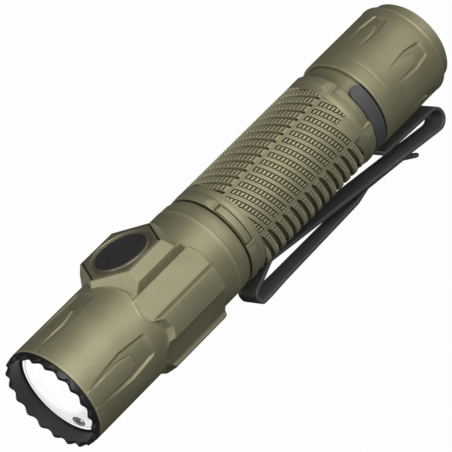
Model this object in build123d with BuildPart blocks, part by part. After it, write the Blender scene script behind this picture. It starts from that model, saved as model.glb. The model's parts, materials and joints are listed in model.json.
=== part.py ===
from build123d import *
from math import atan, cos, degrees, radians, sin
import os

# Dual-switch tactical flashlight for one 21700 cell. Millimetres.
# The optical axis is X: the crown tips lie in the plane X = 0, the beam leaves towards -X and the tail is at +X.
# Z is up, through the middle of the side switch. Angles round the axis are counted from the top, towards +Y.

# Driving dimensions
total_length = 140.0
head_r = 13.75
drum_r = 15.3
neck_r = 13.4
grip_r = 13.15
tail_r = 13.2
running = 0.05

# Stations along the axis
bezel_rear = 1.9
wave_rear = 28.8
drum_front = 30.6
drum_rear = 47.7
neck_joint = 54.8
neck_ring_rear = 59.3
tube_front = 59.5
knurl_front = 66.0
knurl_rear = 103.2
groove_front = 108.3
cap_front = 112.9
cap_rear = 136.4

# Crown bezel, lens and optic
crown_teeth = 20
crown_phase = -3.0
scallop_r = 2.0
scallop_depth = 1.1
crown_mouth_r = 12.45
bezel_seat_r = 12.7
skirt_rear = 6.4
bezel_well_rear = 6.5
lens_lip_r = 11.8
lens_r = 12.1
lens_front = 4.5
lens_thickness = 1.9
optic_flange_r = 12.05
optic_front = 7.5
optic_flange_rear = 8.6
optic_mouth_r = 11.3
optic_rear = 19.8
optic_well_r = 11.6
board_front = 20.2
shelf_front = 21.4
shelf_rear = 26.4

# Side switch
switch_station = 36.6
plate_z = 15.4
pod_half_length = 11.0
pod_shoulder_x = 5.8
pod_half_width = 9.1
pod_draft = 24.0
pod_depth = 7.4
plate_inset = 0.5
plate_thickness = 1.1
button_r = 6.7
button_travel = 0.5

# Driver bay, battery tube and cell
bay_r = 11.4
bay_rear = 46.0
driver_front = 40.0
thread_r = 12.1
tube_bore_r = 11.0
tube_ends = (49.5, 121.5)
seal_stations = (57.4, 115.0)
seal_groove = (1.2, 0.72)
collar_front = 104.7
collar_rear = 62.0
break_r = 0.2
thread_lead_in = 0.3
cell_r = 10.75
cell_front = 43.6
cell_length = 76.0
oring_section_r = 0.35
row_pitch = 2.85
row_width = 1.42
row_depth = 0.35

# Tail cap and tail switch
stack_bore_r = 11.2
switch_bore_r = 10.6
web = (130.0, 131.5)
web_bore_r = 4.0
thread_bore_rear = 122.5
rim_r = 11.9
tail_button_r = 8.7
tail_button_face = 139.0
tail_travel = 1.2

# Pocket clip
strip = 1.0
clip_half_width = 3.4
band_inner_r = thread_r + running
band_outer_r = 13.1
band_gap_half_angle = 49.0
band_front = 108.4
band_width = 4.0

os.makedirs("parts", exist_ok=True)


def outward(angle):
    """Unit vector pointing away from the axis at an angle from the top."""
    return Vector(0, sin(radians(angle)), cos(radians(angle)))


def spoke(angle, radius=0.0, tilt=0.0, station=0.0):
    """Plane facing away from the axis: its x runs along the light, and tilt sinks it as x grows."""
    up = outward(angle)
    along = Vector(1, 0, 0) * cos(radians(tilt)) - up * sin(radians(tilt))
    normal = up * cos(radians(tilt)) + Vector(1, 0, 0) * sin(radians(tilt))
    return Plane(origin=Vector(station, 0, 0) + up * radius, x_dir=along, z_dir=normal)


def section(station, angle=0.0):
    """Plane across the axis: its y points away from the axis at an angle from the top."""
    return Plane(origin=(station, 0, 0), x_dir=outward(angle + 90), z_dir=(1, 0, 0))


def turn(*outline, mode=Mode.ADD):
    """Turns a closed outline of (station, radius) points about the axis."""
    with BuildSketch(Plane.XZ) as profile:
        with BuildLine():
            Polyline(*outline, close=True)
        make_face()
    revolve(profile.sketch, axis=Axis.X, mode=mode)


def barrel(front, rear, outer, inner=0.0, mode=Mode.ADD):
    """A round bar or sleeve on the axis between two stations."""
    turn((front, inner), (front, outer), (rear, outer), (rear, inner), mode=mode)


def arrow(shoulder, rear, half_mid, half_rear, mode=Mode.ADD):
    """Adds a symmetric outline that swells from a blunt front to its shoulder and narrows to a flat rear end."""
    front_half = 0.6 * half_mid
    with BuildLine() as edge:
        Polyline((0, front_half), (shoulder, half_mid), (rear, half_rear), (rear, -half_rear),
                 (shoulder, -half_mid), (0, -front_half), close=True)
    make_face(edge.edges(), mode=mode)


def arrow_pocket(angle, radius, front, outer, isle, depth):
    """Cuts a recess that deepens towards its rear wall and leaves an arrow-shaped island standing in it."""
    sink = degrees(atan(depth / outer[1]))
    with BuildSketch(spoke(angle, radius, sink, front)) as recess:
        arrow(*outer)
        arrow(*isle, mode=Mode.SUBTRACT)
    extrude(recess.sketch, amount=2.0, mode=Mode.SUBTRACT)


def pod_hexagon(inset=0.0):
    """Outline of the switch plate, vertices fore and aft, drawn inside the pod's edge by an inset."""
    grow = 1.0 - inset / pod_half_width
    length, waist, width = (grow * size for size in (pod_half_length, pod_shoulder_x, pod_half_width))
    with BuildLine() as edge:
        Polyline((length, 0), (waist, width), (-waist, width), (-length, 0), (-waist, -width), (waist, -width),
                 close=True)
    make_face(edge.edges())


def deck(height):
    """Plane parallel to the switch plate, centred on the side switch."""
    return Plane(origin=(switch_station, 0, height), x_dir=(1, 0, 0), z_dir=(0, 0, 1))


def finish(builder, label):
    """Labels a finished piece and writes it out."""
    builder.part.label = label
    export_step(builder.part, f"parts/{label}.step")


# ---------------------------------------------------------------- front end

with BuildPart() as bezel_ring:
    turn((0, crown_mouth_r), (0, head_r - 0.4), (0.25, head_r - 0.2), (bezel_rear, head_r - 0.05),
         (bezel_rear, bezel_seat_r), (skirt_rear, bezel_seat_r), (skirt_rear, lens_r + running),
         (lens_front, lens_r + running), (lens_front, lens_lip_r))
    for tooth in range(crown_teeth):
        with BuildSketch(spoke(crown_phase + tooth * 360 / crown_teeth)):
            with Locations((scallop_depth - scallop_r, 0)):
                Circle(scallop_r)
    extrude(amount=head_r + 1, mode=Mode.SUBTRACT)
finish(bezel_ring, "bezel_ring")

with BuildPart() as front_lens:
    barrel(lens_front, lens_front + lens_thickness, lens_r)
    chamfer(front_lens.edges().filter_by(GeomType.CIRCLE), 0.2)
finish(front_lens, "front_lens")

lens_seal_section_r = 0.5
with BuildPart() as lens_seal:
    with BuildSketch(Plane.XZ):
        with Locations((optic_front - 2 * running - lens_seal_section_r, optic_well_r)):
            Circle(lens_seal_section_r)
    revolve(axis=Axis.X)
finish(lens_seal, "lens_seal")

# The presence sensor looks out past the lens edge from a notch in the optic.
sensor_angle = 182.0
sensor_offset = 9.2
with BuildPart() as proximity_sensor:
    with BuildSketch(section(6.45, sensor_angle)):
        with Locations((0, sensor_offset)):
            SlotOverall(4.4, 2.2)
    extrude(amount=3.0)
finish(proximity_sensor, "proximity_sensor")

with BuildPart() as collimator_optic:
    with BuildSketch(Plane.XZ):
        with BuildLine():
            Polyline((optic_rear, 2.6), (16.2, 2.6), (16.2, 0), (optic_front, 0), (optic_front, optic_flange_r),
                     (optic_flange_rear, optic_flange_r), (optic_flange_rear, optic_mouth_r))
            ThreePointArc((optic_flange_rear, optic_mouth_r), (14.8, 8.6), (optic_rear, 4.6))
            Line((optic_rear, 4.6), (optic_rear, 2.6))
        make_face()
    revolve(axis=Axis.X)
    with BuildSketch(section(optic_front - 0.1, sensor_angle)):
        with Locations((0, sensor_offset)):
            SlotOverall(4.5, 2.3)
    extrude(amount=2.1, mode=Mode.SUBTRACT)
finish(collimator_optic, "collimator_optic")

with BuildPart() as led_centering_ring:
    barrel(optic_rear + running, board_front, 5.5, 2.55)
finish(led_centering_ring, "led_centering_ring")

board_hole_offset = 7.5
screw_hole_r = 1.05
led_front = 19.7
dome_r = 1.5
with BuildPart() as led_emitter:
    with BuildSketch(section(led_front)):
        Rectangle(3.5, 3.5)
    extrude(amount=0.5)
    with BuildSketch(Plane.XZ):
        with BuildLine():
            RadiusArc((led_front - 1.4, 0), (led_front, dome_r), dome_r)
            Polyline((led_front, dome_r), (led_front, 0), (led_front - 1.4, 0))
        make_face()
    revolve(axis=Axis.X)
finish(led_emitter, "led_emitter")

with BuildPart() as led_board:
    barrel(board_front, shelf_front, 9.9)
    with BuildSketch(section(board_front)):
        with Locations((board_hole_offset, 0), (-board_hole_offset, 0)):
            Circle(0.7)
        with Locations((0, board_hole_offset), (0, -board_hole_offset)):
            Circle(screw_hole_r)
    extrude(amount=shelf_front - board_front, mode=Mode.SUBTRACT)
finish(led_board, "led_board")

screw_head = 1.0
with BuildPart() as led_board_screws:
    with BuildSketch(section(board_front - screw_head)):
        with Locations((0, board_hole_offset), (0, -board_hole_offset)):
            Circle(1.75)
    extrude(amount=screw_head)
    with BuildSketch(section(board_front)):
        with Locations((0, board_hole_offset), (0, -board_hole_offset)):
            Circle(1.0)
    extrude(amount=4.0)
    with BuildSketch(section(board_front - screw_head)):
        with Locations((0, board_hole_offset), (0, -board_hole_offset)):
            Rectangle(2.2, 0.5)
            Rectangle(0.5, 2.2)
    extrude(amount=0.5, mode=Mode.SUBTRACT)
finish(led_board_screws, "led_board_screws")

with BuildPart() as led_wires:
    with BuildSketch(section(board_front)):
        with Locations((board_hole_offset, 0), (-board_hole_offset, 0)):
            Circle(0.6)
    extrude(amount=driver_front - board_front)
finish(led_wires, "led_wires")

# ---------------------------------------------------------------- head housing

flat_floor = 13.6
flat_half_width = 3.45
flat_front = 26.5
flat_wall = 2.5
edge_break = 0.4
button_well_r = 7.6
button_ledge_z = 12.9
stack_pocket = (13.4, 9.4)
with BuildPart() as head_housing:
    turn((bezel_rear, 0), (bezel_rear, head_r - 0.15), (bezel_rear + 0.15, head_r), (wave_rear, head_r),
         (drum_front, drum_r), (drum_rear - edge_break, drum_r), (drum_rear, drum_r - edge_break),
         (drum_rear, neck_r), (neck_joint, neck_r), (neck_joint, 0))
    with BuildSketch(deck(plate_z)):
        pod_hexagon()
    extrude(amount=-pod_depth, taper=-pod_draft)
    barrel(drum_rear, neck_joint, 2 * drum_r, neck_r, mode=Mode.SUBTRACT)
    # Milled flats between the lands of the drum
    for angle in (60, 120, 180, 240, 300):
        with BuildSketch(section(flat_front, angle)):
            with BuildLine():
                Polyline((-flat_half_width, flat_floor), (flat_half_width, flat_floor),
                         (flat_half_width + flat_wall, flat_floor + flat_wall),
                         (-flat_half_width - flat_wall, flat_floor + flat_wall),
                         close=True)
            make_face()
    extrude(amount=drum_rear - flat_front + 0.5, mode=Mode.SUBTRACT)
    # Arrow pockets round the front cylinder
    for angle in (0, 90, 180, 270):
        arrow_pocket(angle, head_r, 3.6, (11.9, 18.2, 4.0, 3.1), (8.0, 13.7, 2.4, 1.44), 0.85)
    # Bores from the front: bezel thread, optic seat, collimator well
    barrel(bezel_rear, bezel_well_rear, bezel_seat_r + running, mode=Mode.SUBTRACT)
    barrel(bezel_well_rear, optic_flange_rear, optic_flange_r + 2 * running, mode=Mode.SUBTRACT)
    barrel(optic_flange_rear, shelf_front, optic_well_r, mode=Mode.SUBTRACT)
    # Bores from the rear: driver bay and tube thread
    barrel(shelf_rear, bay_rear, bay_r, mode=Mode.SUBTRACT)
    barrel(bay_rear, neck_joint, thread_r + running, mode=Mode.SUBTRACT)
    # Seat of the switch plate, button well and pocket of the switch stack
    with BuildSketch(deck(plate_z)):
        pod_hexagon(plate_inset - 0.08)
    extrude(amount=-plate_thickness, mode=Mode.SUBTRACT)
    with BuildSketch(deck(button_ledge_z)):
        Circle(button_well_r)
    extrude(amount=3.0, mode=Mode.SUBTRACT)
    with BuildSketch(deck(button_ledge_z)):
        Rectangle(*stack_pocket)
    extrude(amount=-4.5, mode=Mode.SUBTRACT)
    # Wire and screw holes through the thermal shelf
    with BuildSketch(section(shelf_front)):
        with Locations((board_hole_offset, 0), (-board_hole_offset, 0)):
            Circle(0.8)
        with Locations((0, board_hole_offset), (0, -board_hole_offset)):
            Circle(screw_hole_r)
    extrude(amount=shelf_rear - shelf_front, mode=Mode.SUBTRACT)
finish(head_housing, "head_housing")

with BuildPart() as neck_ring:
    turn((neck_joint, thread_r + running), (neck_joint, neck_r - 0.05), (57.4, neck_r - 0.15), (58.5, 13.0),
         (59.1, 12.6), (neck_ring_rear, 12.3), (neck_ring_rear, thread_r + running))
finish(neck_ring, "neck_ring")

# ---------------------------------------------------------------- side switch

with BuildPart() as switch_plate:
    with BuildSketch(deck(plate_z)):
        pod_hexagon(plate_inset)
    extrude(amount=-plate_thickness)
    with BuildSketch(deck(plate_z)):
        Circle(button_r + 0.08)
    extrude(amount=-plate_thickness, mode=Mode.SUBTRACT)
    # Shallow dish round the button
    with BuildSketch(Plane.XZ):
        with BuildLine():
            ThreePointArc((switch_station + 7.1, plate_z), (switch_station + 7.75, plate_z - 0.35),
                          (switch_station + 8.6, plate_z))
            Line((switch_station + 8.6, plate_z), (switch_station + 7.1, plate_z))
        make_face()
    revolve(axis=Axis((switch_station, 0, 0), (0, 0, 1)), mode=Mode.SUBTRACT)
finish(switch_plate, "switch_plate")

plate_under = plate_z - plate_thickness
flange_thickness = 0.5
boss_height = 0.1
button_proud = 0.1
with BuildPart() as side_button:
    with BuildSketch(deck(plate_z + button_proud)):
        Circle(button_r)
    extrude(amount=-(button_proud + plate_thickness))
    fillet(side_button.faces().sort_by(Axis.Z)[-1].edges(), 0.3)
    with BuildSketch(deck(plate_under - flange_thickness)):
        Circle(button_well_r - 0.2)
    extrude(amount=flange_thickness)
    with BuildSketch(deck(plate_under - flange_thickness)):
        Circle(1.5)
    extrude(amount=-boss_height)
finish(side_button, "side_button")

with BuildPart() as side_button_seal:
    with BuildSketch(deck(button_ledge_z)):
        Circle(button_well_r - 0.1)
        Circle(5.0, mode=Mode.SUBTRACT)
    extrude(amount=0.3)
finish(side_button_seal, "side_button_seal")

side_board_z = 11.45
side_board_thickness = 0.6
tact_body = 0.8
with BuildPart() as side_switch_board:
    with BuildSketch(deck(side_board_z)):
        Rectangle(13.0, 9.0)
    extrude(amount=side_board_thickness)
finish(side_switch_board, "side_switch_board")

with BuildPart() as side_tact_switch:
    with BuildSketch(deck(side_board_z + side_board_thickness)):
        Rectangle(6.0, 6.0)
    extrude(amount=tact_body)
    # The plunger stands one button travel below the boss
    with BuildSketch(deck(side_board_z + side_board_thickness)):
        Circle(1.7)
    extrude(amount=plate_under - flange_thickness - boss_height - button_travel - running
            - side_board_z - side_board_thickness)
finish(side_tact_switch, "side_tact_switch")

# ---------------------------------------------------------------- driver

driver_rear = driver_front + 1.6
with BuildPart() as driver_board:
    barrel(driver_front, driver_rear, bay_r - running)
finish(driver_board, "driver_board")

with BuildPart() as driver_components:
    for offset, size, height in (((-4.1, -3.0), (4.6, 4.6), 3.0), ((3.6, -4.0), (4.0, 4.0), 1.2),
                                 ((4.0, 2.2), (5.0, 3.2), 1.6), ((-4.2, 3.6), (3.2, 2.4), 1.4)):
        with BuildSketch(section(driver_front)):
            with Locations(offset):
                Rectangle(*size)
        extrude(amount=-height)
finish(driver_components, "driver_components")

driver_ring_rear = 42.9
with BuildPart() as driver_retaining_ring:
    barrel(driver_rear, driver_ring_rear, bay_r - running, 9.2)
    with BuildSketch(section(driver_ring_rear)):
        Rectangle(2.0, 2 * bay_r)
    extrude(amount=-0.6, mode=Mode.SUBTRACT)
finish(driver_retaining_ring, "driver_retaining_ring")

contact_foot_rear = 42.4
with BuildPart() as front_contact:
    barrel(driver_rear, contact_foot_rear, 4.0)
    barrel(contact_foot_rear, 43.1, 2.6)
finish(front_contact, "front_contact")

with BuildPart() as front_contact_ring:
    barrel(driver_rear, contact_foot_rear, 8.0, 6.0)
finish(front_contact_ring, "front_contact_ring")

# ---------------------------------------------------------------- battery tube and cell

with BuildPart() as battery_tube:
    turn((tube_ends[0], tube_bore_r), (tube_ends[0], thread_r - thread_lead_in),
         (tube_ends[0] + thread_lead_in, thread_r), (tube_front, thread_r), (tube_front, grip_r - break_r),
         (tube_front + break_r, grip_r), (groove_front - break_r, grip_r), (groove_front, grip_r - break_r),
         (groove_front, thread_r), (tube_ends[1] - thread_lead_in, thread_r),
         (tube_ends[1], thread_r - thread_lead_in), (tube_ends[1], tube_bore_r))
    # Seal grooves in both threaded spigots
    for station in seal_stations:
        half = seal_groove[0] / 2
        barrel(station - half, station + half, thread_r + 0.1, thread_r - seal_groove[1], mode=Mode.SUBTRACT)
    # Gripping rows, relieved between the smooth end rings
    rows = int((knurl_rear - knurl_front) / row_pitch)
    for row in range(rows):
        start = knurl_front + 0.75 + row * row_pitch
        barrel(start, start + row_width, grip_r + 0.1, grip_r - row_depth, mode=Mode.SUBTRACT)
    # Chamfered flutes in the two end collars
    for sector in range(6):
        for front, rear in ((tube_front, collar_rear), (collar_front, groove_front)):
            with BuildSketch(section(front, -64 + 60 * sector)):
                with Locations((0, grip_r + 0.45)):
                    Rectangle(10.5, 2.0)
            extrude(amount=rear - front, mode=Mode.SUBTRACT)
finish(battery_tube, "battery_tube")

for label, station in zip(("front_tube_seal", "rear_tube_seal"), seal_stations):
    with BuildPart() as tube_seal:
        with BuildSketch(Plane.XZ):
            with Locations((station, thread_r + 0.02 - oring_section_r)):
                Circle(oring_section_r)
        revolve(axis=Axis.X)
    finish(tube_seal, label)

cell_cap_r = 9.6
cell_cap_height = 0.6
wrap_edge = 0.5
with BuildPart() as battery_cell:
    turn((cell_front, 0), (cell_front, cell_cap_r), (cell_front + cell_cap_height, cell_cap_r),
         (cell_front + cell_cap_height, cell_r - 0.35), (cell_front + 1.0, cell_r),
         (cell_front + cell_length - wrap_edge, cell_r), (cell_front + cell_length, cell_r - wrap_edge),
         (cell_front + cell_length, 0))
    barrel(cell_front - 0.1, cell_front + 0.2, 5.6, 4.6, mode=Mode.SUBTRACT)
finish(battery_cell, "battery_cell")

# ---------------------------------------------------------------- pocket clip

clip_joint = (100.0, -17.73)
long_arm_front = (70.3, -13.57)
tail_loop_r = 2.7
head_loop_r = 1.7
bend_r = 1.2
root_bend_r = 0.9
outer_arm_z = -20.9


def bent_strip(points, bend_radii, half_width):
    """A flat spring strip that follows (station, height) points, bent at each inner point to its own radius."""
    with BuildLine(Plane.XZ) as course:
        FilletPolyline(*points, radius=bend_radii)
    with BuildSketch(Plane(origin=course.line @ 0, x_dir=(0, 1, 0), z_dir=course.line % 0)) as blank:
        Rectangle(2 * half_width, strip)
    sweep(blank.sketch, path=course.line)


with BuildPart() as clip_arm:
    bent_strip(((109.4, -12.62), (111.4, -12.7), (114.9, -15.9), (136.6, -17.1), (136.7, -22.87), clip_joint),
               (root_bend_r, root_bend_r, tail_loop_r, tail_loop_r), clip_half_width)

with BuildPart() as clip_hook:
    bent_strip((clip_joint, long_arm_front, (61.5, -17.9), (62.3, outer_arm_z), (101.6, outer_arm_z),
                (106.6, -20.1), (120.4, -21.85), (125.9, -24.9)),
               (bend_r, head_loop_r, bend_r, bend_r, bend_r, bend_r), clip_half_width)
    # The outer arm tapers to a narrow tongue. The long arm above it keeps the full width.
    with BuildSketch(Plane.XY.offset(outer_arm_z - 5.0)):
        with BuildLine():
            side = Polyline((66.0, 5.0), (66.0, 3.4), (72.0, 2.9), (95.0, 2.5), (102.0, 2.3), (106.0, 1.9),
                            (124.6, 1.6), (125.8, 0.9), (130.0, 0.9), (130.0, 5.0), (66.0, 5.0))
        make_face()
        mirror(about=Plane.XZ)
    extrude(amount=5.6, mode=Mode.SUBTRACT)

with BuildPart() as clip_band:
    barrel(band_front, band_front + band_width, band_outer_r, band_inner_r)
    with BuildSketch(section(band_front)):
        with BuildLine():
            edge_left = Vector(-20 * sin(radians(band_gap_half_angle)), 20 * cos(radians(band_gap_half_angle)))
            edge_right = Vector(-edge_left.X, edge_left.Y)
            Polyline((0, 0), edge_left, edge_right, close=True)
        make_face()
    extrude(amount=band_width, mode=Mode.SUBTRACT)
    ends = clip_band.edges().filter_by(GeomType.LINE).filter_by(lambda e: e.length < 2 * strip)
    fillet(ends, 1.8)

with BuildPart() as pocket_clip:
    add(clip_band.part)
    add(clip_arm.part)
    add(clip_hook.part)
finish(pocket_clip, "pocket_clip")

# ---------------------------------------------------------------- tail cap

line_front = 117.8
line_depth = 0.08
with BuildPart() as tail_cap:
    turn((cap_front, 0), (cap_front, tail_r - break_r), (cap_front + break_r, tail_r), (line_front, tail_r),
         (line_front, tail_r - line_depth), (line_front + 0.2, tail_r - line_depth), (line_front + 0.2, tail_r),
         (134.2, tail_r), (135.4, 12.9), (cap_rear, 12.2), (cap_rear, 0))
    for sector in range(6):
        arrow_pocket(-72.5 + 60 * sector, tail_r, 121.5, (9.5, 11.9, 3.0, 2.4), (5.5, 8.2, 1.75, 1.2), 0.6)
    barrel(cap_front, thread_bore_rear, thread_r + running, mode=Mode.SUBTRACT)
    barrel(thread_bore_rear, web[0], stack_bore_r, mode=Mode.SUBTRACT)
    barrel(web[0], web[1], web_bore_r, mode=Mode.SUBTRACT)
    barrel(web[1], cap_rear, switch_bore_r, mode=Mode.SUBTRACT)
finish(tail_cap, "tail_cap")

rim_front = 134.8
rim_edge = 0.6
rim_mouth = 0.5
flange_front = 134.1
with BuildPart() as tail_rim:
    turn((rim_front, tail_button_r + running), (rim_front, switch_bore_r - running),
         (cap_rear, switch_bore_r - running), (cap_rear, rim_r), (total_length - rim_edge, rim_r),
         (total_length, rim_r - rim_edge), (total_length, tail_button_r + rim_edge),
         (total_length - rim_mouth, tail_button_r + running))
finish(tail_rim, "tail_rim")

tail_boss_front = 133.2
contact_well = 136.6
insulator_r = 3.4
pin_r = 2.0
magnet = (7.4, 3.2)
magnet_rear = 136.2
with BuildPart() as tail_button:
    barrel(flange_front, tail_button_face, tail_button_r)
    chamfer(tail_button.edges().filter_by(GeomType.CIRCLE).sort_by(Axis.X)[-1], 0.4)
    barrel(flange_front, rim_front, 9.8)
    barrel(tail_boss_front, flange_front, 1.6)
    barrel(flange_front, magnet_rear, magnet[0], magnet[1], mode=Mode.SUBTRACT)
    barrel(contact_well, tail_button_face, insulator_r, mode=Mode.SUBTRACT)
finish(tail_button, "tail_button")

with BuildPart() as tail_magnet:
    barrel(flange_front + running, magnet_rear, magnet[0] - running, magnet[1] + running)
finish(tail_magnet, "tail_magnet")

with BuildPart() as tail_insulator:
    barrel(contact_well, tail_button_face, insulator_r, pin_r)
finish(tail_insulator, "tail_insulator")

with BuildPart() as tail_contact_pin:
    barrel(contact_well, tail_button_face + running, pin_r)
finish(tail_contact_pin, "tail_contact_pin")

with BuildPart() as tail_button_seal:
    barrel(web[1], 132.4, switch_bore_r - running, 8.6)
finish(tail_button_seal, "tail_button_seal")

tail_board_front = 126.0
tail_board_rear = 127.4
tail_tact_rear = 131.0
with BuildPart() as tail_switch_board:
    barrel(tail_board_front, tail_board_rear, stack_bore_r - running)
finish(tail_switch_board, "tail_switch_board")

with BuildPart() as tail_tact_switch:
    barrel(tail_board_rear, tail_tact_rear, 3.2)
    # The plunger stands one button travel in front of the boss
    barrel(tail_tact_rear, tail_boss_front - tail_travel - 2 * running, 1.7)
finish(tail_tact_switch, "tail_tact_switch")

with BuildPart() as tail_spacer:
    barrel(tail_board_rear, web[0], stack_bore_r - running, 9.4)
finish(tail_spacer, "tail_spacer")

tail_ring_front = 124.4
with BuildPart() as tail_retaining_ring:
    barrel(tail_ring_front, tail_board_front, stack_bore_r - running, 8.6)
    with BuildSketch(section(tail_ring_front)):
        Rectangle(2.0, 24.0)
    extrude(amount=0.6, mode=Mode.SUBTRACT)
finish(tail_retaining_ring, "tail_retaining_ring")

spring_wire_r = 0.45
spring_rear = tail_board_front - spring_wire_r - running
spring_height = spring_rear - (cell_front + cell_length) - spring_wire_r - running
with BuildPart() as tail_spring:
    with BuildLine() as coil:
        Helix(pitch=spring_height / 3.25, height=spring_height, radius=6.4, center=(spring_rear, 0, 0),
              direction=(-1, 0, 0), cone_angle=-25)
    with BuildSketch(Plane(origin=coil.line @ 0, z_dir=coil.line % 0)):
        Circle(spring_wire_r)
    sweep(path=coil.line)
finish(tail_spring, "tail_spring")
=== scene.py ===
"""Looks of a dual-switch tactical flashlight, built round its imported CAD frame.

The light's axis is X: crown tips at x = 0, tail at +x, side switch on top. Angles round the axis are in
degrees from the top, growing towards +Y. Shapes are in millimetres, and are written to the meshes in metres.
"""
import json
import math

import bpy
import numpy as np
from mathutils import Matrix, Vector


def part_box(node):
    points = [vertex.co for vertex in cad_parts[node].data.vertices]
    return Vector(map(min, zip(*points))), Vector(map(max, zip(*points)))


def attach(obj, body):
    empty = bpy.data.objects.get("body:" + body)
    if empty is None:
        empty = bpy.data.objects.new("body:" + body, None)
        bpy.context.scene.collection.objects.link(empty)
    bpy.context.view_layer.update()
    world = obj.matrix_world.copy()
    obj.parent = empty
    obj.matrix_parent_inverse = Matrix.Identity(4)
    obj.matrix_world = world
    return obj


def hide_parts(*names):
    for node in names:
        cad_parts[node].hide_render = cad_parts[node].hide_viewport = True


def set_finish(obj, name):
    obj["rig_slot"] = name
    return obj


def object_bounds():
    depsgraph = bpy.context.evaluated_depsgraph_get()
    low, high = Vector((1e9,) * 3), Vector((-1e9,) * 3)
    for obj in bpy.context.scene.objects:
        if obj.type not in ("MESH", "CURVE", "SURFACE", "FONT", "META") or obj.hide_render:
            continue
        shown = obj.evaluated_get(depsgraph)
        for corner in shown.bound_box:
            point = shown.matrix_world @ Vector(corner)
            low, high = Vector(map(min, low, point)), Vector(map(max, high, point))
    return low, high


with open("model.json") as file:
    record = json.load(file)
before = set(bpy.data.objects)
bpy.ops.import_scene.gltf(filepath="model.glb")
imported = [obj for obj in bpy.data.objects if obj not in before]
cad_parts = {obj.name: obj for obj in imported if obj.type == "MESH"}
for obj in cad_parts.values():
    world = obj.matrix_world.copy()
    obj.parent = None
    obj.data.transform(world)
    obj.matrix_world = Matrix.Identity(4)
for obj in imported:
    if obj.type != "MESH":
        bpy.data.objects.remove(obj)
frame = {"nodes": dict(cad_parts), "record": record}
cad_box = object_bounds()

MM = 0.001


# -------- sizes

def station(node, end):
    """Front (0) or rear (1) end of a CAD node along the light, in millimetres."""
    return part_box(node)[end].x / MM


def half_height(node):
    """Half of a CAD node's height, in millimetres."""
    low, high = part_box(node)
    return (high.z - low.z) / 2 / MM


# Stations and radii shared by several pieces
HEAD_FRONT = station("head_housing", 0)
NECK_REAR = station("head_housing", 1)
HEAD_R = 13.75
DRUM_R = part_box("head_housing")[1].y / MM
NECK_R = 13.4
PLATE_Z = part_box("switch_plate")[1].z / MM
SWITCH_X = (station("switch_plate", 0) + station("switch_plate", 1)) / 2
GRIP_R = half_height("battery_tube") - 0.1
FIN_R = GRIP_R + 0.27
TUBE_FRONT = station("neck_ring", 1) + 0.08
GROOVE_R = 12.1
SOCKET_R = 12.15
CAP_FRONT = station("tail_cap", 0)
CAP_REAR = station("tail_cap", 1)
CAP_R = half_height("tail_cap")
FINE_MESH = 1


# -------- mesh helpers

def new_mesh(name, vertices, *polygons, sharp=40.0):
    """Makes a smooth-shaded mesh object from points in millimetres, with creases above the sharp angle.

    polygons are arrays of corner numbers, one array for each size of polygon."""
    mesh = bpy.data.meshes.new(name)
    vertices = np.asarray(vertices, np.float64) * MM
    polygons = [np.asarray(group, np.int32) for group in polygons]
    sizes = np.concatenate([np.full(len(group), group.shape[1], np.int32) for group in polygons])
    mesh.vertices.add(len(vertices))
    mesh.vertices.foreach_set("co", vertices.astype(np.float32).ravel())
    mesh.loops.add(int(sizes.sum()))
    mesh.loops.foreach_set("vertex_index", np.concatenate([group.ravel() for group in polygons]))
    mesh.polygons.add(len(sizes))
    mesh.polygons.foreach_set("loop_start", np.concatenate([[0], np.cumsum(sizes)[:-1]]).astype(np.int32))
    mesh.update(calc_edges=True)
    mesh.validate()
    mesh.shade_smooth()
    mesh.set_sharp_from_angle(angle=math.radians(sharp))
    piece = bpy.data.objects.new(name, mesh)
    bpy.context.scene.collection.objects.link(piece)
    return piece


def fitted(piece, body, node, slot):
    """Makes a piece ride on a body, stand for a CAD node there and wear a slot's material."""
    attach(piece, body)
    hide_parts(node)
    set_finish(piece, slot)
    return piece


def weld(points, corners):
    """Joins coinciding points. Quads with one collapsed side become triangles, flatter ones are dropped."""
    _, first, back = np.unique(np.round(points, 4), axis=0, return_index=True, return_inverse=True)
    corners = back.reshape(-1)[corners]
    same = corners == np.roll(corners, -1, axis=1)
    folded = (corners[:, 0] == corners[:, 2]) | (corners[:, 1] == corners[:, 3])
    whole = corners[~same.any(axis=1) & ~folded]
    pinched = (same.sum(axis=1) == 1) & ~folded
    return points[first], whole, corners[pinched][~same[pinched]].reshape(-1, 3)


def quads(rows, columns, close_rows, close_columns):
    """Corner numbers of a grid's quads, facing out when rows run along +X and columns along +angle."""
    i, j = np.meshgrid(np.arange(rows - (not close_rows)), np.arange(columns - (not close_columns)),
                       indexing="ij")
    below, beside = (i + 1) % rows, (j + 1) % columns
    corners = [i * columns + j, below * columns + j, below * columns + beside, i * columns + beside]
    return np.stack([c.ravel() for c in corners], axis=1)


def turned(name, stations, radii, angles, sharp=40.0):
    """Closed shell round the axis: each row holds stations and radii, and the last row joins the first.

    angles may be one row for all, or a row for each of the first rows, of which the last serves the rest."""
    turn = np.radians(np.atleast_2d(angles))
    turn = turn[np.minimum(np.arange(len(stations)), len(turn) - 1)]
    points = np.stack([stations, radii * np.sin(turn), radii * np.cos(turn)], axis=-1)
    rows, columns = stations.shape
    return new_mesh(name, points.reshape(-1, 3), quads(rows, columns, True, True), sharp=sharp)


def with_bore(stations, radii, bore):
    """Adds the inner outline of a shell, given from its rear to its front, to the rows of its outside."""
    one = np.ones(stations.shape[1])
    inner_s, inner_r = (np.array(values)[:, None] * one for values in zip(*bore))
    return np.vstack([stations, inner_s]), np.vstack([radii, inner_r])


def spaced(*stops, step):
    """Stations through each stop, at about the given step."""
    parts = [np.linspace(a, b, max(2, int(round((b - a) / step)) + 1))[:-1] for a, b in zip(stops, stops[1:])]
    return np.concatenate(parts + [[stops[-1]]])


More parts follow.
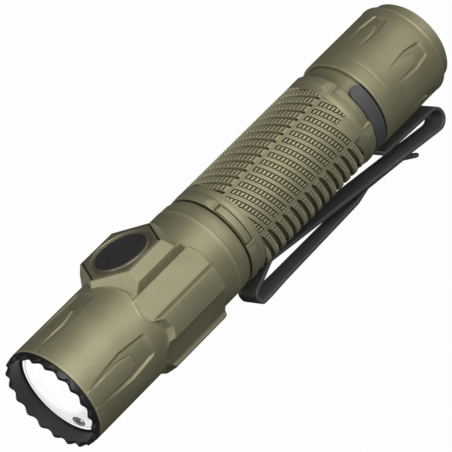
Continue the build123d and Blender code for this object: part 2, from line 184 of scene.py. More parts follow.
def nearest(angles, centres):
    """Signed angle from the nearest of the centres."""
    offsets = (np.asarray(angles)[..., None] - np.asarray(centres) + 180) % 360 - 180
    pick = np.abs(offsets).argmin(axis=-1)
    return np.take_along_axis(offsets, pick[..., None], axis=-1)[..., 0]


def bead(s, middle, width):
    """Height of a fine rounded line: 1 along its middle, fading out on both sides."""
    return np.exp(-((s - middle) / width) ** 2)


# -------- arrow-shaped recesses

ISLE_WALL = 0.3


def recess_columns(s, centres, radius, recess):
    """Angles of the columns at each station, following the outlines of the recesses round their centres."""
    half_arc = radius * math.pi / len(centres)
    at_isle, at_outer = np.interp(s, *recess["isle"]), np.interp(s, *recess["outer"])
    straight = (at_outer.max() + half_arc) / 2
    lines = [0 * s, at_isle, at_isle + ISLE_WALL, at_outer - recess["wall"], at_outer, straight + 0 * s,
             half_arc + 0 * s]
    half = np.hstack([low + (high - low) * k / count
                      for low, high, count in zip(lines, lines[1:], recess["columns"]) for k in range(count)])
    whole = np.hstack([-lines[-1], -half[:, :0:-1], half])
    angles = np.hstack([centre + np.degrees(whole / radius) for centre in sorted(centres)])
    return (angles + 180) % 360 - 180


def recess_depth(s, across, recess):
    """Depth of a recess that is open at its front, has an angular rear end and an island in its middle."""
    inside = np.minimum((np.interp(s, *recess["outer"]) - np.abs(across)) / recess["wall"],
                        (recess["rear"] - s) / recess["rear_wall"])
    off_isle = np.maximum(np.abs(across) - np.interp(s, *recess["isle"]), s - recess["isle"][0][-1])
    front, full = recess["slope"]
    deep = recess["depth"] * np.clip((s - front) / (full - front), 0, 1)
    return deep * np.clip(inside, 0, 1) * np.clip(off_isle / ISLE_WALL, 0, 1)


# -------- head

# Milled flats of the drum: angles, height over the axis and half-widths
FLATS = (60, 120, 180, -120, -60)
FLAT_HEIGHT = 13.6
FLAT_HALF, LOW_FLAT_HALF = 3.3, 4.3
LEAST_COSINE = 0.2
# Pod: reach of its sides and tips, angles of its faces, and its core inside the drum
POD_SIDE = 15.58
POD_TIP = 11.0
POD_SPAN = 46.4
POD_CORE_TOP = PLATE_Z - 1.25
POD_CORE_REAR = 40.0
POD_HIDDEN = 0.14
POD_EDGE = math.radians(29.8)
FORE_TILT = math.radians(24.0)
AFT_TILT = math.radians(33.0)
# Ends of the drum: slopes, where the rear one starts at each angle, and the fine lines at their feet
DRUM_FORE_SLOPE = 1.25
DRUM_AFT_SLOPE = 2.5
DRUM_EDGE = ((40, 45.7), (45, 46.0), (48, 46.7), (51, 47.1), (55, 47.45), (60, 47.6), (180, 47.6))
RIDGE_RISE, RIDGE_WIDTH = 0.1, 0.17
VALLEY_RISE, VALLEY_WIDTH = 0.07, 0.16
VALLEY_SPAN = 46.0
# Wave at the end of the front cylinder: angle and station
WAVE = ((-180, 25.6), (-174, 25.85), (-166.5, 26.75), (-159, 28.15), (-151, 28.7), (-144, 28.15),
        (-138, 27.35), (-133.5, 26.75), (-124, 25.75), (-116, 25.75), (-106.5, 26.75), (-102, 27.35),
        (-96, 28.15), (-88.5, 28.7), (-81, 28.15), (-73.5, 26.75), (-66, 25.85), (-62, 25.55), (-50, 26.6),
        (-38, 27.6), (-25, 27.4), (-15, 26.6), (0, 25.2))
WAVE_STEP = 0.5
WAVE_BLUR = 7
HEAD_POCKETS = (-178, -88, 2, 92)
HEAD_RECESS = {"outer": ((3.0, 6.0, 10.0, 15.0, 22.2, 23.3), (2.9, 3.15, 3.65, 4.08, 3.3, 2.7)),
               "isle": ((3.0, 8.0, 12.5, 14.5, 17.0), (2.0, 2.1, 2.2, 1.95, 1.25)),
               "rear": 23.3, "wall": 0.6, "rear_wall": 1.2, "depth": 0.48, "slope": (3.0, 13.0),
               "columns": (10, 2, 7, 4, 19, 18)}
HEAD_BORE = ((NECK_REAR, SOCKET_R), (46.0, SOCKET_R), (46.0, 11.4), (21.4, 11.4), (21.4, 11.6), (8.6, 11.6),
             (8.6, SOCKET_R), (6.5, SOCKET_R), (6.5, 12.75), (HEAD_FRONT, 12.75))


def end_face(end):
    """Outward direction of the sloping faces fore (-1) or aft (+1) of the switch plate, for the +Y side."""
    tilt = FORE_TILT if end < 0 else AFT_TILT
    return math.cos(POD_EDGE) * math.cos(tilt), math.sin(POD_EDGE) * math.cos(tilt), math.sin(tilt)


def pod_end(s, angles, end):
    """Radius of the sloping faces at one end of the pod, held just inside the pod piece."""
    a = np.radians(angles)
    along, side, up = end_face(end)
    reach = along * POD_TIP + up * PLATE_Z - POD_HIDDEN - end * along * (s - SWITCH_X)
    return reach / (side * np.abs(np.sin(a)) + up * np.cos(a))


def ridge_station(angles):
    """Where the front cylinder ends, at each angle: a wave with rounded crests, the same on both sides."""
    line = np.interp(np.arange(-180.0, WAVE_STEP, WAVE_STEP), *np.array(WAVE).T)
    full = np.concatenate([line[:-1], line[::-1][:-1]])
    smooth = sum(np.roll(full, shift) * (WAVE_BLUR - abs(shift)) for shift in range(1 - WAVE_BLUR, WAVE_BLUR))
    return np.interp((np.asarray(angles) + 180) % 360, np.arange(0, 360, WAVE_STEP), smooth / WAVE_BLUR ** 2,
                     period=360)


def pod_valley(angles):
    """Station where the pod's aft faces run out on the neck."""
    a = np.radians(np.abs(angles))
    along, side, up = end_face(1)
    return SWITCH_X + POD_TIP + (up * (PLATE_Z - NECK_R * np.cos(a)) - side * NECK_R * np.sin(a)) / along


def drum_section(angles):
    """Radius of the drum: a round with milled flats, and the core of the pod on top."""
    off = np.radians(nearest(angles, FLATS))
    flat = np.abs(np.round((angles - np.degrees(off)) / 60) * 60)
    half = np.where(flat == 120, LOW_FLAT_HALF, FLAT_HALF)
    floor = FLAT_HEIGHT / np.cos(off)
    wall = (FLAT_HEIGHT - half) / np.maximum(np.cos(off) - np.abs(np.sin(off)), LEAST_COSINE)
    slot = np.maximum(floor, wall)
    a = np.radians(angles)
    side = (POD_SIDE - POD_HIDDEN) / np.maximum(np.cos(np.abs(a) - math.pi / 3), LEAST_COSINE)
    core = np.minimum(POD_CORE_TOP / np.maximum(np.cos(a), LEAST_COSINE), side)
    return np.where(np.abs(angles) < 60, np.minimum(np.maximum(slot - POD_HIDDEN, floor), core),
                    np.minimum(slot, DRUM_R))


def head_radius(s, angles):
    """Outside of the head: front cylinder, drum and pod with sloping ends, neck, and lines at the slopes."""
    turn = np.abs(angles)
    near_pod = turn < POD_SPAN
    ridge = ridge_station(angles)
    front = np.where(near_pod, pod_end(s, angles, -1), HEAD_R + DRUM_FORE_SLOPE * (s - ridge))
    drum_rear = DRUM_R + DRUM_AFT_SLOPE * (np.interp(turn, *np.array(DRUM_EDGE).T) - s)
    rear = np.where(turn < DRUM_EDGE[0][0], pod_end(s, angles, 1), drum_rear)
    behind_ridge = np.where(near_pod & (s < POD_CORE_REAR), HEAD_R - 0.1, NECK_R)
    core = np.where(s <= ridge, HEAD_R, behind_ridge)
    radius = np.maximum(core, np.minimum(drum_section(angles), np.minimum(front, rear)))
    valley = np.where(turn < VALLEY_SPAN, bead(s, pod_valley(angles) + 0.15, VALLEY_WIDTH), 0)
    return radius + RIDGE_RISE * bead(s, ridge - 0.1, RIDGE_WIDTH) + VALLEY_RISE * valley


def head_stations(front, ridge):
    """Rows of the head's outside: level over the recesses, wavy along the ridge, level on drum and neck."""
    recess_end, level = front[-1, 0], 33.0
    crest = ridge + np.array([-0.5, -0.35, -0.24, -0.14, -0.04, 0.06, 0.18])[:, None]
    before = recess_end + (crest[0] - recess_end) * spaced(0.0, 1.0, step=1 / 9)[1:-1, None]
    foot = ridge + 0.3
    behind = foot + (level - foot) * spaced(0.0, 1.0, step=1 / 28)[:, None]
    rest = np.concatenate([spaced(level, 45.5, step=0.7)[1:], spaced(45.7, 49.6, step=0.15),
                           spaced(50.0, NECK_REAR - 0.15, step=1.0)])
    one = np.ones_like(ridge)
    return np.vstack([front * one, before, crest, behind, rest[:, None] * one])


def make_head():
    isle_end, recess_end = HEAD_RECESS["isle"][0][-1], HEAD_RECESS["rear"]
    front = np.unique(np.concatenate([
        spaced(HEAD_FRONT + 0.2, isle_end - 0.4, step=0.3), [isle_end - 0.2, isle_end],
        spaced(isle_end + ISLE_WALL, 22.0, recess_end, step=0.3)]))[:, None]
    angles = recess_columns(front, HEAD_POCKETS, HEAD_R, HEAD_RECESS)
    stations = head_stations(front, ridge_station(angles[-1]))
    angles = angles[np.minimum(np.arange(len(stations)), len(front) - 1)]
    across = HEAD_R * np.radians(nearest(angles, HEAD_POCKETS))
    radii = head_radius(stations, angles) - recess_depth(stations, across, HEAD_RECESS)
    one = np.ones_like(angles[0])
    stations = np.vstack([one * HEAD_FRONT, stations, one * NECK_REAR])
    radii = np.vstack([one * (HEAD_R - 0.2), radii, one * (NECK_R - 0.15)])
    stations, radii = with_bore(stations, radii, HEAD_BORE)
    head = turned("head_shell", stations, radii, np.vstack([angles[:1], angles]), sharp=38)
    head.pass_index = FINE_MESH
    return fitted(head, "light_body", "head_housing", "olive_anodised")


# -------- switch pod and plate

SLOT_WALL_TOP = 12.49
POD_FOOT = 9.6
SEAM_DEPTH = 1.2
POD_HOLE_R = 7.7
PLATE_INSET = 0.62
PLATE_DEPTH = 1.05
EDGE_STEPS = 24
BUTTON_DISH = ((0.0, 8.25), (0.16, 8.12), (0.4, 7.75), (0.45, 7.4), (0.3, 7.08), (0.05, 6.98), (0.0, 6.9),
               (0.05, 6.8), (PLATE_DEPTH, 6.8))


def pod_outline(z, inset=0.0):
    """The pod's six corners at a height: tips fore and aft, and the ends of its two sides."""
    facet = (POD_SIDE - max(z, SLOT_WALL_TOP) / 2) / math.cos(math.pi / 6)
    half_width = facet - max(0.0, SLOT_WALL_TOP - z) * math.tan(math.radians(15)) - inset
    corners = []
    for end in (1, -1):
        along, side, up = end_face(end)
        reach = along * POD_TIP + up * (PLATE_Z - z) - inset * math.hypot(along, side)
        tip, waist = reach / along, (reach - side * half_width) / along
        corners += [(end * waist, -end * half_width), (end * tip, 0), (end * waist, end * half_width)]
    return corners


def pod_ring(z, inset=0.0):
    """Points round the pod's outline at a height, with the same number on each of its six edges."""
    corners = np.array(pod_outline(z, inset))
    steps = np.arange(EDGE_STEPS)[:, None] / EDGE_STEPS
    following = np.roll(corners, -1, axis=0)
    return np.vstack([start + (end - start) * steps for start, end in zip(corners, following)])


def round_ring(radius):
    """Points round a circle on the switch's axis, in the directions of the outline's points."""
    ways = pod_ring(PLATE_Z, PLATE_INSET)
    return radius * ways / np.linalg.norm(ways, axis=1)[:, None]


def switch_ring(name, rows, sharp):
    """Closed ring round the switch's axis. Each row is a height and the points round it."""
    points = [np.column_stack([SWITCH_X + ring[:, 0], ring[:, 1], np.full(len(ring), z)]) for z, ring in rows]
    faces = quads(len(rows), len(points[0]), True, True)[:, ::-1]
    return new_mesh(name, np.concatenate(points), faces, sharp=sharp)


def make_pod():
    """Six-sided pod under the switch plate: slopes fore and aft, facets beside it, and the plate's seam."""
    top = PLATE_Z
    rows = [(z, pod_ring(z)) for z in (POD_FOOT, SLOT_WALL_TOP, top - 0.1)]
    rows += [(top, pod_ring(top, 0.1)), (top, pod_ring(top, 0.32)), (top - SEAM_DEPTH, pod_ring(top, 0.34))]
    rows += [(z, round_ring(POD_HOLE_R)) for z in (top - SEAM_DEPTH, POD_FOOT)]
    return fitted(switch_ring("switch_pod", rows, 20), "light_body", "head_housing", "olive_anodised")


def make_plate():
    """Hexagonal plate with a broken edge, a dished ring round the button and the button's hole."""
    top = PLATE_Z - 0.01
    edge = pod_ring(PLATE_Z, PLATE_INSET)
    rows = [(top - PLATE_DEPTH, edge), (top - 0.16, edge), (top, pod_ring(PLATE_Z, PLATE_INSET + 0.15))]
    rows += [(top - drop, round_ring(radius)) for drop, radius in BUTTON_DISH]
    return fitted(switch_ring("hex_plate", rows, 28), "light_body", "switch_plate", "olive_plate")


# -------- battery tube

SECTOR_A = (-64, 56, 176)
SECTOR_B = (-124, -4, 116)
SECTOR_HALF = 30.0
GRIP_FRONT = 64.5
GRIP_REAR = 103.3
COLLAR = (TUBE_FRONT + 0.15, 62.3)
REAR_COLLAR = (104.9, 108.3)
RING_LINES = (62.55, 64.3, 103.5)
PITCH = 2.85
STARTS = 10
ROW_AT_A = 66.25
TEETH = 87
TOOTH = 360 / TEETH
TOOTH_TOP = 0.9
TOOTH_FOOT = 1.35
# A sectors: windows with teeth. WINDOW holds distances from the middle of a row
WINDOW_HALF = 27.2
WINDOW_DEPTH = 0.42
WINDOW = (0.0, 0.6, 0.68, 0.86, 0.94, 1.12, PITCH / 2)
TOOTH_SINK = 0.03
# B sectors: fins with notched tops, between slots
FIN_END = SECTOR_HALF - 1
FIN_SLOPE = 6.0
FIN_GAP, FIN_TAPER = 0.42, 0.3
FOOT_LIMIT = 1.28
NOTCH_DEPTH = 0.36
NOTCHED_HALF = 25.0
SLOT_DEPTH = 0.75
SLOT_SLOPE = 2.0
# Collars: grooved pads and sloping blocks
PAD_GROOVE = 2.2
PAD_DEPTH, PAD_RISE = 0.4, 0.3
REAR_PAD_DEPTH = 0.5
BLOCK_END, BLOCK_SLOPE = 0.8, 8.0
BLOCK_RISE = FIN_R - GRIP_R + 0.1
# Threaded ends
TUBE_BORE_R = 11.0
THREAD_REAR, REAR_THREAD_FRONT = 56.0, 116.0
SEALS = (57.4, 115.0)
SEAL_HALF = 0.6
SEAL_DEPTH = 0.72
STEP = 0.01


def tooth_angles():
    """Columns that follow the flanks of the teeth. The last lies on the first, one turn on."""
    steps = (-TOOTH_FOOT, -TOOTH_TOP, TOOTH_TOP, TOOTH_FOOT, TOOTH / 2)
    angles = [SECTOR_A[0] + TOOTH * tooth + step for tooth in range(TEETH) for step in steps]
    return np.array([angles[-1] - 360] + angles)


def row_profile(angle):
    """Half of one row's section at an angle: distances from its middle, and depths there.

    A sectors hold windows with a row of teeth. B sectors hold fins with notched tops, between slots."""
    in_tooth = abs((angle - SECTOR_A[0] + TOOTH / 2) % TOOTH - TOOTH / 2)
    gap = in_tooth > (TOOTH_TOP + TOOTH_FOOT) / 2
    b_off = abs(float(nearest(angle, SECTOR_B)))
    if abs(float(nearest(angle, SECTOR_A))) < WINDOW_HALF:
        top = WINDOW_DEPTH if gap else TOOTH_SINK
        return WINDOW, (top, top, WINDOW_DEPTH, WINDOW_DEPTH, 0, 0, 0)
    if b_off >= FIN_END:
        return WINDOW, (0.0,) * len(WINDOW)
    slot = SLOT_DEPTH * min(1.0, (FIN_END - b_off) / SLOT_SLOPE)
    height = min(1.0, (FIN_END - b_off) / FIN_SLOPE)
    rise = (FIN_R - GRIP_R) * height
    fin = PITCH / 2 - FIN_GAP - FIN_TAPER * height
    foot = min(fin + 0.1 + 0.14 * slot, FOOT_LIMIT)
    top = min(NOTCH_DEPTH, slot) - rise if gap and b_off < NOTCHED_HALF else -rise
    distances = (0.0, 0.4, fin - 0.15, fin, foot, FOOT_LIMIT + 0.05, PITCH / 2)
    return distances, (top, top, top, top, slot, slot, slot)


def grip_rows(angles):
    """Stations and depths of the helical gripping rows, trimmed to the gripping zone."""
    stations, depths = [], []
    for angle in angles:
        distances, depth = row_profile(angle)
        middle = ROW_AT_A - PITCH * STARTS / 360 * (angle - SECTOR_A[0])
        both = np.concatenate([-np.array(distances[:0:-1]), distances[:-1]])
        s = (middle + PITCH * np.arange(-5, 22)[:, None] + both[None, :]).ravel()
        s = np.clip(s, GRIP_FRONT + 0.1, GRIP_REAR - 0.1)
        off = np.abs((s - middle + PITCH / 2) % PITCH - PITCH / 2)
        stations.append(s)
        depths.append(np.interp(off, distances, depth))
    return np.array(stations).T, np.array(depths).T


def collar_angles(angles):
    """The columns, with the nearest ones moved to the ends of the collars' pads and blocks."""
    keys = [a + side * (WINDOW_HALF - step) for a in SECTOR_A for side in (-1, 1) for step in (0, PAD_GROOVE)]
    keys += [b + side * (SECTOR_HALF - BLOCK_END - step) for b in SECTOR_B for side in (-1, 1)
             for step in (0, BLOCK_SLOPE)]
    moved = angles.copy()
    for key in keys:
        off = (key - angles + 180) % 360 - 180
        pick = np.abs(off).argmin()
        if pick not in (0, len(angles) - 1):
            moved[pick] = angles[pick] + off[pick]
    return moved


def collar_depth(s, angles):
    """Relief of the end collars: a grooved pad in each A sector, a block with sloping ends in each B."""
    a_off, b_off = np.abs(nearest(angles, SECTOR_A)), np.abs(nearest(angles, SECTOR_B))
    front = s < GRIP_REAR
    low, high = (np.where(front, fore, aft) for fore, aft in zip(COLLAR, REAR_COLLAR))
    to_rim = np.minimum(high - s, s - low)
    in_pad = np.minimum(to_rim / 0.25, (WINDOW_HALF - a_off) / 0.5)
    on_pad = np.minimum(to_rim / 0.25 - 1, (WINDOW_HALF - PAD_GROOVE - a_off) / 0.5)
    pad = PAD_DEPTH * np.clip(in_pad, 0, 1) - PAD_RISE * np.clip(on_pad, 0, 1)
    slope = REAR_PAD_DEPTH * np.clip(np.minimum((s - low) / 1.5, (WINDOW_HALF - a_off) / 1.6), 0, 1)
    block = np.minimum(to_rim / 0.9, (SECTOR_HALF - BLOCK_END - b_off) / BLOCK_SLOPE)
    return np.where(a_off <= SECTOR_HALF, np.where(front, pad, slope), -BLOCK_RISE * np.clip(block, 0, 1))


def screw_thread(s, angles, front, rear, root, crest, pitch=1.0):
    """Radius of a male thread between two stations."""
    phase = (s / pitch - angles / 360.0) % 1.0
    height = np.clip(1.6 - 4.4 * np.abs(phase - 0.5), 0, 1)
    fade = np.clip(np.minimum(s - front, rear - s) / 0.4, 0, 1)
    return root + (crest - root) * height * fade


def spigot(rows, angles, thread, seal):
    """Threaded end of the tube, with a groove for its seal."""
    s, turn = np.meshgrid(rows, angles, indexing="ij")
    threaded = screw_thread(s, turn, *thread, GROOVE_R - 0.45, GROOVE_R - 0.02)
    radii = np.where((s >= thread[0]) & (s <= thread[1]), threaded, GROOVE_R)
    return s, np.where(np.abs(s - seal) < SEAL_HALF - STEP / 2, GROOVE_R - SEAL_DEPTH, radii), turn


def seal_rows(seal):
    return [seal - SEAL_HALF, seal - SEAL_HALF + STEP, seal + SEAL_HALF, seal + SEAL_HALF + STEP]


def collar(rows, angles):
    """One end collar with its smooth ring and fine ring lines."""
    s, turn = np.meshgrid(rows, collar_angles(angles), indexing="ij")
    lines = 0.07 * sum(bead(s, line, 0.1) for line in RING_LINES)
    edge = 0.06 * ((s < COLLAR[0] + 0.05) | (s > REAR_COLLAR[1] - 0.05))
    return s, GRIP_R - lines - edge - collar_depth(s, turn), turn


def make_tube():
    angles = tooth_angles()
    front_end, rear_end = station("battery_tube", 0), station("battery_tube", 1)
    front_spigot = np.concatenate([spaced(front_end, THREAD_REAR, step=0.3), seal_rows(SEALS[0]),
                                   [TUBE_FRONT]])
    front_collar = np.concatenate([
        COLLAR[0] + np.array([0.0, 0.12, 0.25, 0.5, 0.9]), spaced(60.6, 61.4, 61.8, step=0.25),
        [62.05, 62.17, COLLAR[1]], [62.45, 62.55, 62.65, 62.8, 64.1, 64.22, 64.3, 64.38, GRIP_FRONT]])
    rear_collar = np.concatenate([[GRIP_REAR, 103.42, 103.5, 103.58],
                                  spaced(REAR_COLLAR[0] - 0.1, 108.1, step=0.25), [REAR_COLLAR[1]]])
    rear_spigot = np.concatenate([[REAR_COLLAR[1] + 0.001], seal_rows(SEALS[1]),
                                  spaced(REAR_THREAD_FRONT, rear_end, step=0.3)])
    grip_s, grip_deep = grip_rows(angles)
    bore_s, bore_turn = np.meshgrid([rear_end, front_end], angles, indexing="ij")
    blocks = (spigot(front_spigot, angles, (front_end, THREAD_REAR), SEALS[0]),
              collar(front_collar, angles),
              (grip_s, GRIP_R - grip_deep, np.broadcast_to(angles, grip_s.shape)),
              collar(rear_collar, angles),
              spigot(rear_spigot, angles, (REAR_THREAD_FRONT, rear_end), SEALS[1]),
              (bore_s, np.full_like(bore_s, TUBE_BORE_R), bore_turn))
    s, radii, turn = (np.vstack(parts) for parts in zip(*blocks))
    turn = np.radians(turn)
    points = np.stack([s, radii * np.sin(turn), radii * np.cos(turn)], axis=-1).reshape(-1, 3)
    tube = new_mesh("grip_tube", *weld(points, quads(*s.shape, True, False)), sharp=32)
    tube.pass_index = FINE_MESH
    return fitted(tube, "light_body", "battery_tube", "olive_anodised")


# -------- tail cap

CAP_POCKETS = tuple(-133.2 + 60 * k for k in range(6))
CAP_RECESS = {"outer": ((121.0, 123.5, 128.0, 132.3, 133.0), (2.3, 2.6, 2.98, 2.2, 1.75)),
              "isle": ((121.0, 124.0, 127.0, 128.4, 129.2, 129.6), (1.5, 1.65, 1.6, 1.25, 0.9, 0.5)),
              "rear": 133.0, "wall": 0.4, "rear_wall": 0.45, "depth": 0.42, "slope": (121.0, 129.0),
              "columns": (9, 2, 6, 3, 15, 15)}
CAP_LINES = (117.0, 135.55)
CAP_END_R = 12.6
CAP_OUTLINE = ((CAP_FRONT, CAP_FRONT + 0.25, 135.5, 136.2, CAP_REAR),
               (CAP_R - 0.25, CAP_R, CAP_R, 13.3, CAP_END_R))
CAP_BORE = ((CAP_REAR, 10.6), (131.5, 10.6), (131.5, 4.0), (130.0, 4.0), (130.0, 11.2), (122.5, 11.2),
            (122.5, SOCKET_R), (CAP_FRONT, SOCKET_R))


def make_tail_cap():
    rows = np.concatenate([[CAP_FRONT, CAP_FRONT + 0.25], spaced(CAP_FRONT + 0.5, 116.5, step=1.0),
                           CAP_LINES[0] + np.linspace(-0.2, 0.2, 5), spaced(117.5, 121.0, step=0.7)[:-1],
                           spaced(121.0, 128.4, step=0.3), spaced(128.5, 129.6, 129.9, step=0.12),
                           spaced(130.2, 132.2, step=0.3), spaced(132.4, 133.0, step=0.15),
                           [133.3, 135.2], CAP_LINES[1] + np.linspace(-0.1, 0.2, 4), [136.2]])[:, None]
    angles = recess_columns(rows, CAP_POCKETS, CAP_R, CAP_RECESS)
    one = np.ones_like(angles[0])
    s = rows * one
    across = CAP_R * np.radians(nearest(angles, CAP_POCKETS))
    lines = 0.1 * sum(bead(s, line, 0.09) for line in CAP_LINES)
    radii = np.interp(s, *CAP_OUTLINE) - lines - recess_depth(s, across, CAP_RECESS)
    s, radii = with_bore(np.vstack([s, one * CAP_REAR]), np.vstack([radii, one * CAP_END_R]), CAP_BORE)
    cap = turned("tail_cap_shell", s, radii, angles, sharp=50)
    return fitted(cap, "tail_cap", "tail_cap", "olive_anodised")


# -------- crown bezel

CROWN_TEETH = 20
CROWN_PHASE = -3.0
MOUTH_R = 12.45
ARC_DEPTH, ARC_HALF = 0.72, 2.1
HOLLOW_DEPTH, HOLLOW_HALF = 0.2, 1.15


def make_bezel():
    """Scalloped crown: wide shallow arcs with narrow tips, a V-shaped hollow outside each arc's middle."""
    angles = np.arange(-180.0, 180.0, 0.75)
    off = nearest(angles, [CROWN_PHASE + k * 360 / CROWN_TEETH for k in range(CROWN_TEETH)])
    reach = HEAD_R * np.radians(np.abs(off))
    arc = ARC_DEPTH * (0.5 + 0.5 * np.cos(np.pi * np.clip(reach / ARC_HALF, 0, 1))) ** 0.8
    hollow = HOLLOW_DEPTH * np.clip(1 - reach / HOLLOW_HALF, 0, 1)
    rows = ((arc, MOUTH_R), (np.maximum(arc, 0.02), MOUTH_R + 0.35), (arc + 0.08, 13.25),
            (arc + 0.14 + hollow, 13.5 - hollow), (np.maximum(arc + 0.35, 1.15), 13.66), (1.62, 13.68),
            (1.72, 13.68), (HEAD_FRONT, 13.5), (HEAD_FRONT, 12.7), (6.4, 12.7), (6.4, 12.15), (4.5, 12.15),
            (4.5, 11.85), (4.3, 11.9), (4.1, 12.35))
    one = np.ones_like(angles)
    stations, radii = (np.stack([value * one for value in values]) for values in zip(*rows))
    return fitted(turned("crown_bezel", stations, radii, angles, sharp=30), "light_body", "bezel_ring",
                  "black_anodised")


# -------- pocket clip

# Strip: its thickness, its course as (station, height), the radii of its bends and its half-widths
STRIP = 1.0
STRIP_CORNER = 0.28
ARM_HALF = 3.4
STEM = ((109.4, -12.62), (111.4, -12.7), (114.9, -15.9), (136.6, -17.1), (136.7, -22.87), (70.3, -13.86),
        (61.5, -17.9), (62.3, -20.9), (101.6, -20.9), (106.6, -20.1), (120.4, -21.85), (125.9, -24.9))
BENDS = (0.9, 0.9, 2.7, 2.7, 1.2, 1.7, 1.2, 1.2, 1.2, 1.2)
TONGUE = ((62, 66, 72, 95, 102, 106, 124), (3.4, 3.4, 2.95, 2.5, 2.3, 1.95, 1.6))
# Band: middle and half-width, half of its gap and its rounded ends in degrees, radii
BAND_MIDDLE, BAND_HALF = 110.4, 2.0
BAND_GAP = 49.0
BAND_ROUND = 9.0
BAND_R = (12.16, 13.1)
BAND_BREAK = 0.18


def clip_piece(name, vertices, rows, sharp):
    """Makes a piece of the clip from the points of its closed section at each row along it."""
    columns = len(vertices) // rows
    ends = np.array([np.arange(columns)[::-1], (rows - 1) * columns + np.arange(columns)])
    piece = new_mesh(name, vertices, quads(rows, columns, False, True)[:, ::-1], ends, sharp=sharp)
    return fitted(piece, "pocket_clip", "pocket_clip", "spring_steel_black")


def rounded_course(points, radii, step=0.4):
    """Follows straight runs between points, bent at each inner point to its own radius."""
    points = [np.array(p, float) for p in points]
    course = [points[0]]
    for before, corner, after, radius in zip(points, points[1:], points[2:], radii):
        into, out = corner - before, after - corner
        into, out = into / np.linalg.norm(into), out / np.linalg.norm(out)
        turn = math.acos(np.clip(into @ out, -1, 1))
        side = out - into * math.cos(turn)
        side = side / np.linalg.norm(side)
        centre = corner - into * radius * math.tan(turn / 2) + side * radius
        for t in np.linspace(0, turn, max(4, int(radius * turn / 0.25))):
            course.append(centre - side * radius * math.cos(t) + into * radius * math.sin(t))
    course.append(points[-1])
    full = [course[0]]
    for point in course[1:]:
        pieces = max(1, int(np.linalg.norm(point - full[-1]) / step))
        full += [full[-1] + (point - full[-1]) * k / pieces for k in range(1, pieces + 1)]
    return np.array(full)


def strip_section(half_width, arc=4):
    """Rounded outline of the strip: (across, through) points."""
    outline = []
    for side_x, side_y, start in ((1, 1, 0), (-1, 1, 90), (-1, -1, 180), (1, -1, 270)):
        for t in np.radians(start + 90 * np.arange(arc + 1) / arc):
            outline.append((side_x * (half_width - STRIP_CORNER) + STRIP_CORNER * math.cos(t),
                            side_y * (STRIP / 2 - STRIP_CORNER) + STRIP_CORNER * math.sin(t)))
    return outline


def make_arms():
    """Strip bent from the band to the tail, forward to a loop at the head, and back to a free tongue."""
    course = rounded_course(STEM, BENDS)
    along = np.gradient(course, axis=0)
    along /= np.linalg.norm(along, axis=1)[:, None]
    runs = np.concatenate([[0], np.cumsum(np.linalg.norm(np.diff(course, axis=0), axis=1))])
    loop_run = runs[course[:, 0].argmin()]
    vertices = []
    for point, direction, run in zip(course, along, runs):
        if run < loop_run:
            half_width = ARM_HALF * math.sqrt(min(1, 0.35 + run / 1.5))
        else:
            half_width = np.interp(point[0], *TONGUE) * math.sqrt(max(0.2, min(1, (runs[-1] - run) / 1.6)))
        normal = np.array([-direction[1], direction[0]])
        for across, through in strip_section(half_width):
            s, height = point + normal * through
            vertices.append((s, across, height))
    return clip_piece("clip_arms", vertices, len(course), 50)


def make_band():
    """C-shaped band with rounded ends, open at the top."""
    close = BAND_ROUND * (1 - np.cos(np.linspace(0, math.pi / 2, 12)))
    angles = np.concatenate([BAND_GAP + close, np.arange(BAND_GAP + 10, 360 - BAND_GAP - 9, 1.5),
                             360 - BAND_GAP - close[::-1]])
    near_end = np.clip(np.minimum(angles - BAND_GAP, 360 - BAND_GAP - angles) / BAND_ROUND, 0, 1)
    half_here = BAND_HALF * np.sqrt(np.clip(1 - (1 - near_end) ** 2, 0.02, 1))
    low, high = BAND_R
    edge = high - BAND_BREAK
    outline = ((-1, low), (-1, edge), (-0.93, high), (0.93, high), (1, edge), (1, low))
    vertices = [(BAND_MIDDLE + across * width, radius * math.sin(angle), radius * math.cos(angle))
                for angle, width in zip(np.radians(angles), half_here) for across, radius in outline]
    return clip_piece("clip_band", vertices, len(angles), 40)


# -------- materials

DIAGONAL_HALF = 1.1
# Pointedness ranges for the painted highlight on raised corners and the painted shade on sunken ones
RAISED, SUNKEN = (0.505, 0.57), (0.495, 0.43)
OPEN_FACE = (0.3, 0.88)


